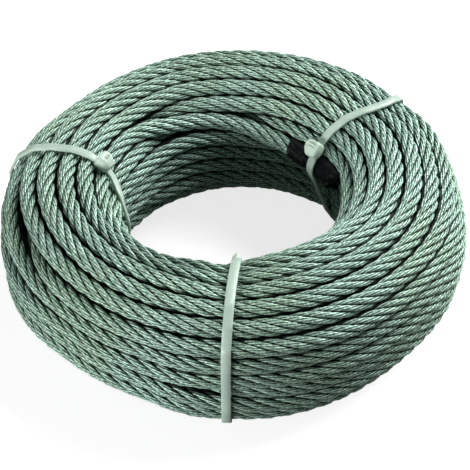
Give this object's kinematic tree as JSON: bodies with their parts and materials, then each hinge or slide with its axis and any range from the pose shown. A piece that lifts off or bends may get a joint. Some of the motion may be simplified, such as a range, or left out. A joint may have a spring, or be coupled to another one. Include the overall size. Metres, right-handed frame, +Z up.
{
  "type": "coil of wire rope",
  "caption": "Hand-wound round coil of thin galvanised wire rope, lying flat, with a taped rope end, held by nylon cable ties.",
  "frame": {"origin": "on the coil's axis, in the plane that the straps under the coil rest on", "axes": "+Z up along the coil's axis; -Y towards the front cable tie"},
  "size_m": [0.1274, 0.1282, 0.0437],
  "materials": {
    "galvanised_rope": "dull zinc grey, drawn wires",
    "vinyl_tape": "black, soft sheen",
    "natural_nylon": "milky, satin"
  },
  "bodies": {
    "root": {"rope_coil": "galvanised_rope", "end_tape": "vinyl_tape", "cable_tie_front": "natural_nylon", "cable_tie_left": "natural_nylon", "cable_tie_right": "natural_nylon"}
  },
  "joints": []
}
